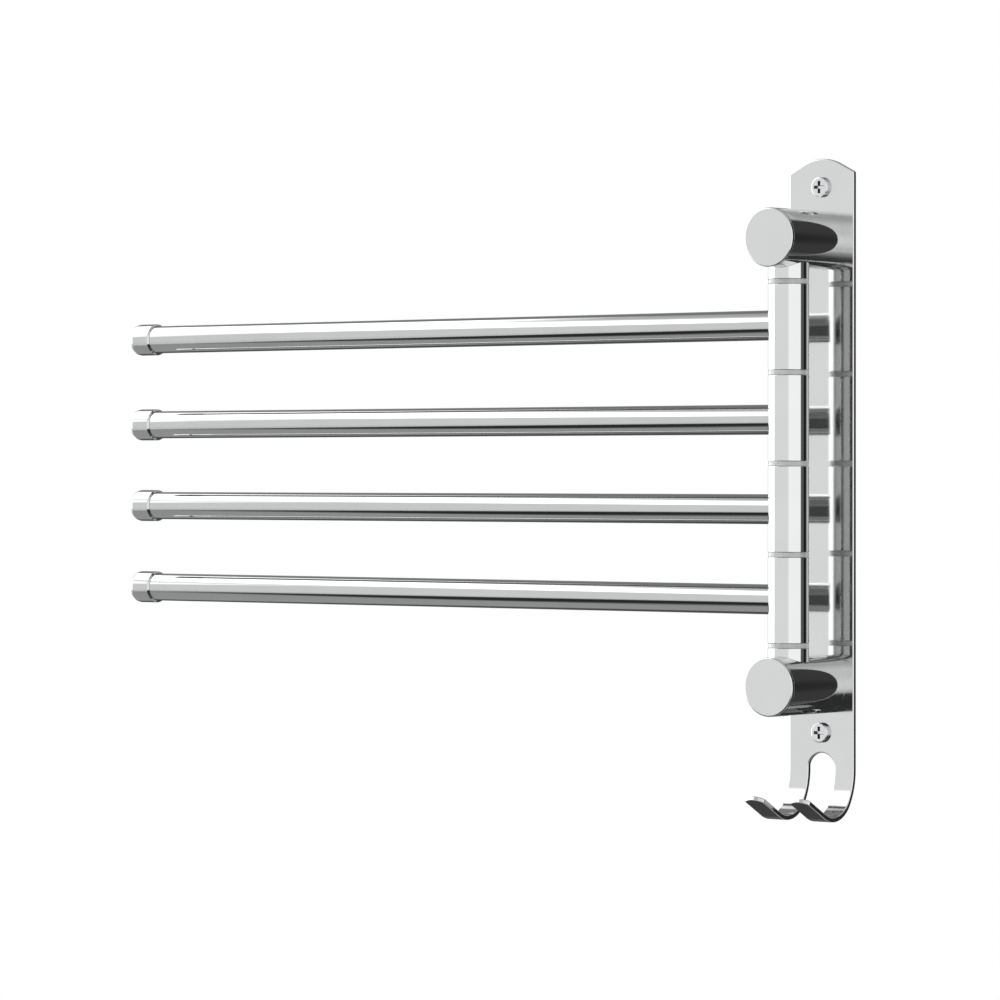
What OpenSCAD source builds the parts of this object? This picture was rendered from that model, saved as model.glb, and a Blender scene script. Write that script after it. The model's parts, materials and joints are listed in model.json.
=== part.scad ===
// Swing arm towel rack: four tube arms on one pivot rod, held off a wall plate with two coat hooks.
// The wall is the plane Y = 0 and the room is on the -Y side. Z = 0 is level with the middle of the pivot.

/* [Back plate] */
// Width of the steel strip
plate_w = 33.4; // [28:0.1:44]
// Thickness of the strip
plate_t = 2; // [2:0.1:3]
// Height of the rounded crown above the upper post's axis
crown_above_post = 34.7; // [32:0.1:50]
// Drop from the crown to the square shoulders at the strip's edges
crown_drop = 6; // [5.6:0.1:6.6]
// Slope of the straight cuts that run up from the shoulders, in degrees
shoulder_slope = 27; // [25:1:30]

/* [Wall screws] */
// Distance from the upper post's axis up to the upper wall screw
upper_screw_rise = 22.6; // [18:0.1:24]
// Distance from the lower post's axis down to the lower wall screw
lower_screw_drop = 20.6; // [18:0.1:22]
// Diameter of the screw holes in the plate
screw_hole_d = 5; // [4.7:0.1:6]
// Outer diameter of the screw thread
screw_thread_d = 4.5; // [4:0.1:4.6]
// Diameter of the smooth neck under the head
screw_neck_d = 3.4; // [3:0.1:3.8]
// Length of the screw under its head
screw_len = 20; // [16:1:40]
// Diameter of the pan head
screw_head_d = 8.5; // [8:0.1:10]
// Height of the pan head
screw_head_h = 1.8; // [1.4:0.1:2.6]

/* [Coat hooks] */
// Width of the slot that parts the two hooks
slot_w = 13.8; // [10:0.1:14.2]
// Radius of the arch at the top of the slot
slot_arch_r = 7.15; // [7:0.05:12]
// Distance from the lower post's axis down to the top of the slot
slot_drop = 29.2; // [27:0.1:30]
// Distance from the lower post's axis down to the start of the bend
bend_drop = 36; // [34.8:0.1:60]
// Outer radius of the wide upper bend
wide_bend_r = 28; // [20:0.5:40]
// Angle of the wide upper bend, in degrees
wide_bend_angle = 32.3; // [20:0.1:40]
// Outer radius of the tight lower bend
tight_bend_r = 13.7; // [10:0.1:18]
// Slope of the rising tips above level, in degrees
tip_slope = 29.4; // [15:0.1:50]
// Straight length of a rising tip, up to its corners
tip_len = 13; // [8:0.5:25]
// How far the arc at the end of a tip stands beyond its corners
tip_crown = 2.2; // [1.5:0.1:3.5]

/* [Posts] */
// Diameter of the posts
post_d = 25; // [23:0.5:28]
// Length of a post, from the plate's face to its end
post_len = 38.3; // [36:0.1:50]
// Wall of the post tube
post_wall = 1.5; // [1:0.1:2]
// Thickness of the disc that closes a post
post_cap_t = 1.5; // [1.2:0.1:3]
// Length of the spigot that holds the disc in the tube
post_spigot_len = 5; // [3:0.5:7]
// Wall of that spigot
post_spigot_wall = 1.2; // [0.8:0.1:2]
// Length of the threaded plug inside the post, at the plate
plug_len = 10; // [8:0.5:12]
// Diameter of the countersunk screw that pulls the post onto the plate
post_screw_d = 5; // [5:0.5:6]
// Diameter of that screw's head
post_screw_head_d = 8.8; // [8:0.1:8.8]
// Length of that screw
post_screw_len = 10; // [8:0.5:11]

/* [Pivot] */
// Distance from the plate's face out to the pivot axis
pivot_out = 22; // [21:0.1:26]
// Distance from the plate's centre line to the pivot axis, towards the folded arms
pivot_aside = 1.2; // [0:0.1:2]
// Diameter of the pivot rod
rod_d = 8; // [6:0.5:9]
// Chamfer on both ends of the pivot rod
rod_chamfer = 1; // [0.5:0.1:1.5]
// Outer diameter of the sleeves and of the collars under the posts
sleeve_d = 17.4; // [16:0.1:19]
// Length of a sleeve
sleeve_len = 36.2; // [20:0.1:60]
// Chamfer on the rims of the sleeves and collars
sleeve_chamfer = 0.2; // [0.2:0.1:0.8]
// Thickness of the nylon washers
washer_t = 2.1; // [1.5:0.1:4]
// Diameter of the nylon washers
washer_d = 17.2; // [16:0.1:19]
// Outer diameter of the nylon bushes inside the sleeves
bush_d = 11; // [10:0.5:12]
// Length of a bush
bush_len = 10; // [6:0.5:14]
// Length of the lower collar between the last washer and the nearest point of the post
collar_len = 3.5; // [1:0.1:20]
// How much longer the upper collar is than the lower one
collar_extra = 1.1; // [0:0.1:5]

/* [Arms] */
// Reach of an arm, from the pivot axis to the end of its cap
arm_reach = 378; // [200:1:450]
// Diameter of an arm tube
arm_d = 12.7; // [10:0.1:13]
// Wall of an arm tube
arm_wall = 1; // [0.6:0.1:1.5]
// How far arm 1, the top one, is joined below the middle of its sleeve
arm_1_drop = -0.9; // [-2:0.1:2]
// How far arm 2 is joined below the middle of its sleeve
arm_2_drop = 0.6; // [-2:0.1:2]
// How far arm 3 is joined below the middle of its sleeve
arm_3_drop = 0.1; // [-2:0.1:2]
// How far arm 4 is joined below the middle of its sleeve
arm_4_drop = -0.1; // [-2:0.1:2]
// Diameter of the cap on the end of an arm
cap_d = 14.6; // [14.4:0.1:18]
// Length of that cap
cap_len = 13; // [10:0.5:20]
// Radius of the rounded edge on the end of the cap
cap_round = 3; // [1:0.5:4]
// Thickness of the cap's closed end
cap_end_t = 3; // [2:0.5:5]

/* [Fits] */
// Radial clearance of the bushes on the pivot rod
running_gap = 0.05; // [0.02:0.01:0.1]
// Play between a sleeve and the washer above or below it
end_gap = 0.05; // [0.02:0.01:0.1]
// Gap at pressed, welded and screwed joints
joint_gap = 0.05; // [0.02:0.01:0.1]

/* [Hidden] */
$fn = 96;

// Number of arms, as in the list of nodes
arm_count = 4;

// How far a cut runs past the faces that it opens
overrun = 1;
// Small turned chamfers on the caps, the post tubes, the screw heads and the bushes
rim_chamfer = 0.4;
// Share of a wall screw's thread that tapers to its point
point_share = 0.25;
// How far the wall screw's smooth neck reaches behind the plate
neck_past_plate = 0.5;

// How far and over which angle neighbouring lengths of a bent hook lap over each other
bend_lap = 0.002;
lap_angle = 5;

steel = [0.80, 0.81, 0.82];
nylon = [0.74, 0.74, 0.72];

// Stack of sleeves and washers, centred on height 0
arm_pitch = sleeve_len + washer_t + 2 * end_gap;
stack_top_z = (arm_count * arm_pitch + washer_t) / 2;

// Heights of the main pieces above the middle of the stack, from the posts at its ends outwards
post_r = post_d / 2;
upper_post_z = stack_top_z + collar_len + collar_extra + post_r;
lower_post_z = -stack_top_z - collar_len - post_r;
upper_screw_z = upper_post_z + upper_screw_rise;
lower_screw_z = lower_post_z - lower_screw_drop;
crown_z = upper_post_z + crown_above_post;
shoulder_z = crown_z - crown_drop;
slot_top_z = lower_post_z - slot_drop;
bend_z = lower_post_z - bend_drop;

// The crown is one arc that runs into both shoulder cuts
peak_z = shoulder_z + plate_w / 2 * tan(shoulder_slope);
crown_r = (peak_z - crown_z) / (1 / cos(shoulder_slope) - 1);
crown_arc_foot_z = crown_z - crown_r + crown_r * cos(shoulder_slope);

// Centre of the slot's arch, and the height at which the arch meets the slot's straight sides
arch_centre_z = slot_top_z - slot_arch_r;
slot_foot_z = arch_centre_z + sqrt(pow(slot_arch_r, 2) - pow(slot_w / 2, 2));
prong_w = (plate_w - slot_w) / 2;

// Centre of the tight bend as seen from the centre of the wide one, and the angle at which the tip starts
tight_centre = (wide_bend_r - tight_bend_r + bend_lap) * [cos(wide_bend_angle), -sin(wide_bend_angle), 0];
tip_angle = 90 + tip_slope;

// Radius of the arc at the end of a tip
tip_arc_r = (pow(prong_w / 2, 2) + pow(tip_crown, 2)) / (2 * tip_crown);

// Posts, measured out from the wall
post_bore_r = post_r - post_wall;
post_end = plate_t + post_len;
tube_end = post_end - post_cap_t;

// Pivot
pivot_y = -(plate_t + pivot_out);
rod_r = rod_d / 2;
rod_hole_r = rod_r + running_gap;
sleeve_r = sleeve_d / 2;
rod_reach = sqrt(pow(post_bore_r, 2) - pow(pivot_aside + rod_r, 2)) - joint_gap;
rod_bottom_z = lower_post_z - rod_reach;
rod_len = upper_post_z + rod_reach - rod_bottom_z;

// Arms, measured out from the pivot axis
arm_r = arm_d / 2;
cap_r = cap_d / 2;
cap_start = arm_reach - cap_len;
tube_tip = arm_reach - cap_end_t - joint_gap;
arm_drops = [arm_1_drop, arm_2_drop, arm_3_drop, arm_4_drop];

// Height of the middle of sleeve i, counted from 1 at the top
function sleeve_z(i) = ((arm_count + 1) / 2 - i) * arm_pitch;

// Height of arm i, counted from 1 at the top
function arm_z(i) = sleeve_z(i) - arm_drops[i - 1];

// Height of washer i, counted from 1 at the top
function washer_z(i) = (arm_count / 2 + 1 - i) * arm_pitch;

// Solid of revolution whose axis runs straight out from the wall: the outline is [radius, distance out].
module turn_out(z) {
    translate([0, 0, z])
        rotate([90, 0, 0])
            rotate_extrude()
                children();
}

// Plain rod that runs straight out from the wall between two distances.
module rod_out(r, z, from, to) {
    translate([0, -from, z])
        rotate([90, 0, 0])
            cylinder(h = to - from, r = r);
}

// Ring with chamfered rims, standing on height 0.
module chamfered_ring(outer_r, inner_r, h, chamfer) {
    rotate_extrude()
        polygon([
            [inner_r, 0], [outer_r - chamfer, 0], [outer_r, chamfer],
            [outer_r, h - chamfer], [outer_r - chamfer, h], [inner_r, h]
        ]);
}

// Moves a piece onto the pivot axis.
module at_pivot(z) {
    translate([-pivot_aside, pivot_y, z])
        children();
}

// Lays a piece along an arm, so that its own Z axis runs from the pivot to the tip.
module along_arm(i) {
    at_pivot(arm_z(i))
        rotate([0, -90, 0])
            children();
}

// Outline of the flat strip from its rounded crown to the start of the bend.
module strip_outline() {
    intersection() {
        polygon([
            [-plate_w / 2, bend_z], [plate_w / 2, bend_z], [plate_w / 2, shoulder_z],
            [0, peak_z], [-plate_w / 2, shoulder_z]
        ]);
        union() {
            translate([0, crown_z - crown_r])
                circle(r = crown_r);
            translate([-plate_w / 2, bend_z])
                square([plate_w, crown_arc_foot_z - bend_z]);
        }
    }
}

// Outline of the slot between the hooks, open at the bottom. The arch is cut down to its centre, so that it
// laps over the straight part.
module slot_outline() {
    intersection() {
        translate([0, arch_centre_z])
            circle(r = slot_arch_r);
        translate([-slot_w / 2, arch_centre_z])
            square([slot_w, slot_arch_r + overrun]);
    }
    translate([-slot_w / 2, bend_z - overrun])
        square([slot_w, (arch_centre_z + slot_foot_z) / 2 - bend_z + overrun]);
}

// Sector of a disc between two angles, both measured clockwise from the X axis.
module sector(r, from, to) {
    intersection() {
        circle(r = r);
        polygon([
            [0, 0], for (a = [from, (from + to) / 2, to])
                2 * wide_bend_r * [cos(a), -sin(a)]
        ]);
    }
}

// Side view of a hook below the strip, filled in from the centres of its bends up to a line that lies
// this deep under its outer face.
module hook_side(depth) {
    sector(wide_bend_r - depth, 0, wide_bend_angle);
    translate(tight_centre) {
        sector(tight_bend_r - depth, wide_bend_angle - lap_angle, tip_angle + lap_angle);
        rotate([0, 0, -tip_angle])
            translate([0, -tip_len - tip_crown])
                square([tight_bend_r - bend_lap - depth, tip_len + tip_crown]);
    }
}

// What the arc at the end of a tip leaves of a square end.
module tip_corners() {
    difference() {
        translate([tight_bend_r - plate_t - overrun, -tip_len - tip_crown - overrun, -overrun])
            cube([plate_t + 2 * overrun, tip_crown + 2 * overrun, prong_w + 2 * overrun]);
        translate([tight_bend_r - plate_t - 2 * overrun, tip_arc_r - tip_len - tip_crown, prong_w / 2])
            rotate([0, 90, 0])
                cylinder(h = plate_t + 4 * overrun, r = tip_arc_r);
    }
}

// One coat hook with its left side at x: a root that lies in the strip, two bends and a rising tip.
// Inside, X is the distance from the wall, Y is the height and Z runs along the hook's width.
module hook(x) {
    translate([x, 0, 0])
        rotate([90, 0, 90]) {
            translate([-plate_t, bend_z, 0])
                cube([plate_t, (slot_foot_z - bend_z) / 2, prong_w]);
            translate([-wide_bend_r, bend_z, 0])
                difference() {
                    linear_extrude(height = prong_w)
                        difference() {
                            hook_side(0);
                            hook_side(plate_t);
                        }
                    translate(tight_centre)
                        rotate([0, 0, -tip_angle])
                            tip_corners();
                }
        }
}

module back_plate() {
    sink_r = post_screw_head_d / 2 + joint_gap;
    shank_hole_r = post_screw_d / 2 + joint_gap;
    color(steel)
        difference() {
            union() {
                rotate([90, 0, 0])
                    linear_extrude(height = plate_t)
                        difference() {
                            strip_outline();
                            slot_outline();
                        }
                hook(-plate_w / 2);
                hook(slot_w / 2);
            }
            for (z = [upper_screw_z, lower_screw_z])
                rod_out(screw_hole_d / 2, z, -overrun, plate_t + overrun);
            for (z = [upper_post_z, lower_post_z]) {
                rod_out(shank_hole_r, z, -overrun, plate_t + overrun);
                turn_out(z)
                    polygon([[0, 0], [sink_r, 0], [0, sink_r]]);
            }
        }
}

// Hollow post, with the hole for the pivot rod on the side that faces the arms.
module post(z, side) {
    color(steel)
        difference() {
            turn_out(z)
                polygon([
                    [post_bore_r, plate_t], [post_r, plate_t], [post_r, tube_end - rim_chamfer],
                    [post_r - rim_chamfer, tube_end], [post_bore_r, tube_end]
                ]);
            at_pivot(z)
                mirror([0, 0, side > 0 ? 1 : 0])
                    cylinder(h = post_r + overrun, r = rod_hole_r);
        }
}

module post_cap(z) {
    spigot_r = post_bore_r - joint_gap;
    color(steel)
        turn_out(z)
            polygon([
                [0, tube_end], [spigot_r - post_spigot_wall, tube_end],
                [spigot_r - post_spigot_wall, tube_end - post_spigot_len],
                [spigot_r, tube_end - post_spigot_len], [spigot_r, tube_end],
                [post_r - rim_chamfer, tube_end], [post_r, tube_end + rim_chamfer],
                [post_r, post_end - rim_chamfer], [post_r - rim_chamfer, post_end], [0, post_end]
            ]);
}

// Plug that closes the post at the plate and takes the countersunk screw.
module post_plug(z) {
    color(steel)
        turn_out(z)
            polygon([
                [post_screw_d / 2 + joint_gap, plate_t], [post_bore_r - joint_gap, plate_t],
                [post_bore_r - joint_gap, plate_t + plug_len],
                [post_screw_d / 2 + joint_gap, plate_t + plug_len]
            ]);
}

// Countersunk screw, flush with the back of the plate.
module post_screw(z) {
    head_r = post_screw_head_d / 2;
    shank_r = post_screw_d / 2;
    color(steel)
        turn_out(z)
            polygon([
                [0, 0], [head_r, 0], [shank_r, head_r - shank_r],
                [shank_r, post_screw_len], [0, post_screw_len]
            ]);
}

// Pan head screw through the plate into the wall.
module wall_screw(z) {
    head_top = plate_t + screw_head_h;
    head_r = screw_head_d / 2;
    neck_r = screw_neck_d / 2;
    thread_r = screw_thread_d / 2;
    point_end = plate_t - screw_len;
    point_start = point_end + (screw_len - plate_t) * point_share;
    color(steel)
        turn_out(z)
            polygon([
                [0, point_end], [thread_r, point_start], [thread_r, -neck_past_plate],
                [neck_r, -neck_past_plate], [neck_r, plate_t], [head_r, plate_t],
                [head_r, head_top - rim_chamfer], [head_r - rim_chamfer, head_top], [0, head_top]
            ]);
}

// Collar between a post and the nearest washer, with a saddle cut that fits the round post.
module collar(side) {
    post_z = side > 0 ? upper_post_z : -lower_post_z;
    color(steel)
        mirror([0, 0, side > 0 ? 0 : 1])
            difference() {
                at_pivot(stack_top_z)
                    chamfered_ring(sleeve_r, rod_hole_r, post_z - stack_top_z, sleeve_chamfer);
                rod_out(post_r + joint_gap, post_z, plate_t, post_end);
            }
}

// Rod held between the far walls of the two posts.
module pivot_rod() {
    color(steel)
        at_pivot(rod_bottom_z)
            rotate_extrude()
                polygon([
                    [0, 0], [rod_r - rod_chamfer, 0], [rod_r, rod_chamfer],
                    [rod_r, rod_len - rod_chamfer], [rod_r - rod_chamfer, rod_len], [0, rod_len]
                ]);
}

module washer(i) {
    color(nylon)
        at_pivot(washer_z(i) - washer_t / 2)
            difference() {
                cylinder(h = washer_t, r = washer_d / 2);
                translate([0, 0, -overrun])
                    cylinder(h = washer_t + 2 * overrun, r = rod_hole_r);
            }
}

module sleeve(i) {
    color(steel)
        at_pivot(sleeve_z(i) - sleeve_len / 2)
            chamfered_ring(sleeve_r, bush_d / 2, sleeve_len, sleeve_chamfer);
}

// Bush pressed into one end of a sleeve: side is 1 at the top and -1 at the bottom.
module bush(i, side) {
    offset_z = side * (sleeve_len - bush_len) / 2;
    color(nylon)
        at_pivot(sleeve_z(i) + offset_z - bush_len / 2)
            chamfered_ring(bush_d / 2 - joint_gap, rod_hole_r, bush_len, rim_chamfer);
}

// Arm tube, coped at its root to fit round the sleeve.
module arm_tube(i) {
    color(steel)
        difference() {
            along_arm(i)
                difference() {
                    cylinder(h = tube_tip, r = arm_r);
                    translate([0, 0, -overrun])
                        cylinder(h = tube_tip + 2 * overrun, r = arm_r - arm_wall);
                }
            at_pivot(arm_z(i) - arm_d)
                cylinder(h = 2 * arm_d, r = sleeve_r + joint_gap);
        }
}

// Cup that slips over the end of an arm tube.
module end_cap(i) {
    bore_r = arm_r + joint_gap;
    color(steel)
        along_arm(i)
            difference() {
                rotate_extrude() {
                    polygon([
                        [0, cap_start], [cap_r - rim_chamfer, cap_start], [cap_r, cap_start + rim_chamfer],
                        [cap_r, arm_reach - cap_round], [cap_r - cap_round, arm_reach - cap_round],
                        [cap_r - cap_round, arm_reach], [0, arm_reach]
                    ]);
                    intersection() {
                        translate([cap_r - cap_round, arm_reach - cap_round])
                            circle(r = cap_round);
                        translate([cap_r - cap_round, arm_reach - cap_round])
                            square([cap_round, cap_round]);
                    }
                }
                translate([0, 0, cap_start - overrun])
                    cylinder(h = cap_len - cap_end_t + overrun, r = bore_r);
            }
}

back_plate();
post(upper_post_z, 1);  // upper_post
post(lower_post_z, -1);  // lower_post
post_cap(upper_post_z);  // upper_post_cap
post_cap(lower_post_z);  // lower_post_cap
post_plug(upper_post_z);  // upper_post_plug
post_plug(lower_post_z);  // lower_post_plug
post_screw(upper_post_z);  // upper_post_screw
post_screw(lower_post_z);  // lower_post_screw
collar(1);  // upper_collar
collar(-1);  // lower_collar
pivot_rod();
wall_screw(upper_screw_z);  // upper_wall_screw
wall_screw(lower_screw_z);  // lower_wall_screw
for (i = [1 : arm_count + 1])
    washer(i);
for (i = [1 : arm_count]) {
    sleeve(i);
    arm_tube(i);
    end_cap(i);
    bush(i, 1);
    bush(i, -1);
}
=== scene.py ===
# Looks of the swing arm towel bar: its own finer meshes on the CAD frame, materials, light and camera.
import json
import math

import bmesh
import bpy
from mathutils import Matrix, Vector
from mathutils.geometry import delaunay_2d_cdt

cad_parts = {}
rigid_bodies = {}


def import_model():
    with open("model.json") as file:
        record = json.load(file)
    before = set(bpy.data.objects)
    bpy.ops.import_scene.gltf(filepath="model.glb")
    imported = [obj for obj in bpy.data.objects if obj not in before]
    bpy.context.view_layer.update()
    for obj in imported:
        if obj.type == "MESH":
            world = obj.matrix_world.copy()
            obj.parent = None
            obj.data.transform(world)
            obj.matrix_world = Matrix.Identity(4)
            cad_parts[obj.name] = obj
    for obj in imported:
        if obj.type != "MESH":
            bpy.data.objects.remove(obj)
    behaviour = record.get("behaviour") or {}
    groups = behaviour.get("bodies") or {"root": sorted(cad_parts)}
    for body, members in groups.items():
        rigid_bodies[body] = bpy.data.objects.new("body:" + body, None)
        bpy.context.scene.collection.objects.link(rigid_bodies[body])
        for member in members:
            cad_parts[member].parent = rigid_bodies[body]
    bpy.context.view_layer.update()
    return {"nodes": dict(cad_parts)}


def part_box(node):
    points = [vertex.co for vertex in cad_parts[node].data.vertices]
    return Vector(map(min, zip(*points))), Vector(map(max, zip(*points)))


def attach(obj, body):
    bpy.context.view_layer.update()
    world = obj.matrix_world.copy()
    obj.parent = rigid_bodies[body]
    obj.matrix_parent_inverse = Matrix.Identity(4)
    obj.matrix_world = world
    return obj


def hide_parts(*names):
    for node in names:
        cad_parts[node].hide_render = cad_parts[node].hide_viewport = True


MM = 0.001
TINY = 1e-6
ARMS = (1, 2, 3, 4)
WASHERS = (1, 2, 3, 4, 5)
ENDS = ("upper", "lower")

# Camera, fitted to edges of the plate, posts, sleeves and arms in the photo
EYE = (1.2159, -1.6979, -0.0036)
AIM = (-0.1769, -0.0020, -0.0161)
LENS = 176.2
SENSOR = 36.0
VIEW_DEPTH = 50.0

# Back plate, in millimetres
PLATE_T = 2.0
FRONT_EDGE = 0.5
BACK_EDGE = 0.35
HOLE_EDGE = 0.2
CORNER = 0.7
SHOULDER_DROP = 6.0
SHOULDER_SLOPE = math.radians(27.0)
SLOT_HALF = 6.9
ARCH_R = 7.15
SLOT_TOP_Z = -123.05
BEND_Z = -129.83
WIDE_R = 28.0
WIDE_ANGLE = math.radians(32.3)
TIGHT_R = 13.7
TIP_ANGLE = math.radians(119.4)
TIP_LEN = 13.0
TIP_CROWN = 2.2
WALL_HOLE_R = 2.5
SHANK_HOLE_R = 2.55
SINK_R = 4.45
SINK_RIM = 0.04

# Division of the plate's mesh
EDGE_STEPS = 4
CORNER_STEPS = 6
HOLE_STEPS = 64
BEND_STEP = math.radians(2.0)
ARC_STEP_DEGREES = 3.0
ARC_LEAST_STEPS = 3
SHARP_TURN = math.radians(3.0)
ROW_CLEARANCE = 0.2
MERGE_DISTANCE = 1e-7
HULL_TRIANGLES = 0

# Turned pieces, in millimetres
ROUND_STEPS = 128
FILLET_STEPS = 4
SADDLE_STEPS = 8
SADDLE_GAP = 0.05
ROD_HOLE_R = 4.05
ROD_HOLE_OVERRUN = 2.0
BUSH_HOLE_R = 5.5
BORE_RIM = 0.1
SLEEVE_RIM = 0.2
SOFT_RIM = 0.25
TUBE_WALL = 1.5
TUBE_RIM = 0.15
CRISP = 0.03
DISC_RIM = 0.58
DISC_SLIT = 0.12
SPIGOT_GAP = 0.05
SPIGOT_WALL = 1.2
SPIGOT_FLOOR = 3.5
ARM_WALL = 1.0
CAP_ROUND = 2.8
CAP_DEPTH = 10.0
CAP_LIP_RIM = 0.05
CAP_STEP_RIM = 0.15
STEP_TAPER = 0.8

# Flat shading beside rounded edges, in millimetres and degrees
SUPPORT = 0.12
LONG_RUN = 8 * SUPPORT
RUN_SHARE = 0.49
SHARP_ANGLE = 32.0
CAP_SHARP_ANGLE = 40.0
THREAD_SHARP_ANGLE = 50.0

# Screws, in millimetres
SCREW_STEPS = 96
PITCH = 1.8
CORE_R = 1.55
THREAD_R = 2.25
THREAD_STEPS = 48
THREAD_LAP = 0.1
TURN_ROWS = 12
RIDGE_SHARE = 0.28
POINT_LEN = 4.5
POINT_SHARE = 0.03
NECK_R = 1.7
NECK_END = 0.5
HEAD_RIM = 0.45
HEAD_FOOT_RIM = 0.15
POST_SHANK_R = 2.5
POST_HEAD_RIM = 0.08
POST_NECK_RIM = 0.1
POST_END_RIM = 0.5
CROSS_REACH = 2.6
CROSS_HALF = 0.66
CROSS_DEPTH = 1.5
CROSS_OVERRUN = 0.15
CROSS_MOUTH_SHARE = 1.03
CROSS_FLOOR_SHARE = 0.8
# Walls of the cross recess that take the painted shade: least depth below the face, and steepness limit
RECESS_START = 0.1
RECESS_STEEPNESS = 0.5

# Steels: darker and lighter tint, least and greatest roughness, grain in cells per metre and
# relief in metres
STEELS = {
    "polished_steel": ((0.645, 0.65, 0.65), (0.665, 0.67, 0.67), (0.03, 0.06), 90.0, 0.0000008),
    "strip_steel": ((0.645, 0.65, 0.65), (0.665, 0.67, 0.67), (0.07, 0.10), 90.0, 0.0000004),
    "cut_edge": ((0.22, 0.225, 0.23), (0.28, 0.285, 0.29), (0.08, 0.14), 90.0, 0.0000008),
    "post_steel": ((0.715, 0.72, 0.72), (0.735, 0.74, 0.74), (0.06, 0.09), 90.0, 0.0000008),
    "tube_steel": ((0.55, 0.555, 0.555), (0.57, 0.575, 0.575), (0.03, 0.06), 90.0, 0.0000008),
    "machined_steel": ((0.50, 0.51, 0.52), (0.60, 0.61, 0.62), (0.25, 0.40), 900.0, 0.00001),
    "plated_screw": ((0.66, 0.67, 0.68), (0.72, 0.73, 0.74), (0.06, 0.14), 500.0, 0.000002),
    # painted shade: a near-black steel that stands in for the shade on the walls of the cross recess
    "painted_recess_shade": ((0.10, 0.10, 0.10), (0.16, 0.16, 0.16), (0.30, 0.45), 900.0, 0.000003),
}
TINT_SCALE = 55.0
WEAR_SCALE = 140.0
WEAR_DETAIL = 4.0
GRAIN_DETAIL = 3.0
NOISE_LOW = 0.3
NOISE_HIGH = 0.7

# Nylon: the same kinds of values, with a smooth coat and some scattering below the surface
NYLON_DARK = (0.40, 0.41, 0.41)
NYLON_LIGHT = (0.47, 0.48, 0.475)
NYLON_ROUGHNESS = (0.24, 0.34)
NYLON_TINT_SCALE = 260.0
NYLON_TINT_DETAIL = 3.0
NYLON_WEAR_SCALE = 900.0
NYLON_GRAIN = 1500.0
NYLON_RELIEF = 0.00001
NYLON_COAT = 0.8
NYLON_COAT_ROUGHNESS = 0.15
NYLON_SCATTER = 0.25
NYLON_SCATTER_RADIUS = (0.0012, 0.0012, 0.0011)

# World and floor, in metres
WORLD_LEVEL = 0.55
FLOOR_Z = -1.2
FLOOR_R = 6.0
FLOOR_STEPS = 96
FLOOR_RING_SHARES = (0.25, 0.5, 0.75, 1.0)
FLOOR_TINT = (0.93, 0.93, 0.93, 1)
FLOOR_ROUGHNESS = 0.9
FLOOR_GLOW_SHARE = 0.5
FADE_START_SHARE = 0.55
FADE_END_SHARE = 0.95

# Softboxes and flags for the polished steel, the farther ones first: level, left and right azimuth,
# lower and upper elevation, fades at the left, right, lower and upper edge, reach and layer
CARDS = {
    "ceiling": (0.62, (-180, 180), (47, 90), (0, 0, 7, 0), 3.6, 0),
    "ceiling_back": (0.27, (-180, -96), (12, 62), (0, 20, 14, 0), 3.5, 0),
    "ceiling_far": (0.55, (158, 200), (28, 62), (6, 10, 6, 0), 3.48, 0),
    "ceiling_front": (0.60, (-34, 28), (26, 52), (6, 34, 8, 5), 3.5, 0),
    "ground": (0.46, (-180, 180), (-90, -22), (0, 0, 0, 4), 3.6, 0),
    "ground_back": (0.04, (-180, -108), (-58, 0), (0, 18, 12, 20), 3.45, 1),
    "ground_front": (0.10, (-58, 100), (-90, -44), (8, 8, 0, 6), 3.5, 1),
    "back_dark": (0.12, (-200, -118), (-50, 26), (0, 14, 12, 14), 3.4, 2),
    "right_dark": (0.05, (103, 172), (-48, 48), (4, 8, 6, 6), 3.35, 2),
    "right_grey": (0.12, (107, 132), (-48, 48), (2, 3, 6, 6), 3.3, 2),
    "right_black": (0.012, (129, 146), (-30, 30), (2, 4, 8, 8), 3.25, 2),
    "right_box": (1.30, (33, 109.5), (-42, 32), (4, 4, 12, 6), 3.2, 2),
    "left_box": (2.6, (-118, -50), (-14, 28), (14, 3, 3, 10), 3.1, 3),
    "flag": (0.035, (-63.5, -12), (-47, -16.5), (7, 12, 14, 6), 1.25, 4),
    "top_box": (3.2, (-90, -36), (20, 49), (5, 4, 9, 10), 1.2, 0),
    "top_box_left": (3.2, (-112, -82), (18, 50), (14, 8, 9, 6), 1.17, 0),
    "right_low": (0.045, (-32, 62), (-62, -22.5), (12, 10, 6, 7.5), 0.78, 0),
}
CARD_FLOOR_DEPTH = 1.15
CARD_LAYER = 0.01
CARD_STEP_DEGREES = 2
CARD_LEAST_STEPS = 4

# Lamps, which only light the matt pieces and the floor: place and size in metres, power in watts
LAMPS = {
    "key_lamp": ((-1.6, -2.4, 1.8), 2.2, 80.0),
    "fill_lamp": ((2.4, 0.6, 0.5), 1.6, 18.0),
}


def clear_scene():
    for ob in list(bpy.data.objects):
        bpy.data.objects.remove(ob, do_unlink=True)


def add_object(name, data):
    ob = bpy.data.objects.new(name, data)
    bpy.context.scene.collection.objects.link(ob)
    return ob


def box_mm(node):
    """Lowest and highest corner of a CAD node, in millimetres."""
    lo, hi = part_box(node)
    return lo / MM, hi / MM


def heights_of(piece):
    """Heights of the middle of the upper and the lower such piece, in millimetres."""
    heights = []
    for end in ENDS:
        lo, hi = box_mm(f"{end}_{piece}")
        heights.append((lo.z + hi.z) / 2)
    return heights


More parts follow.
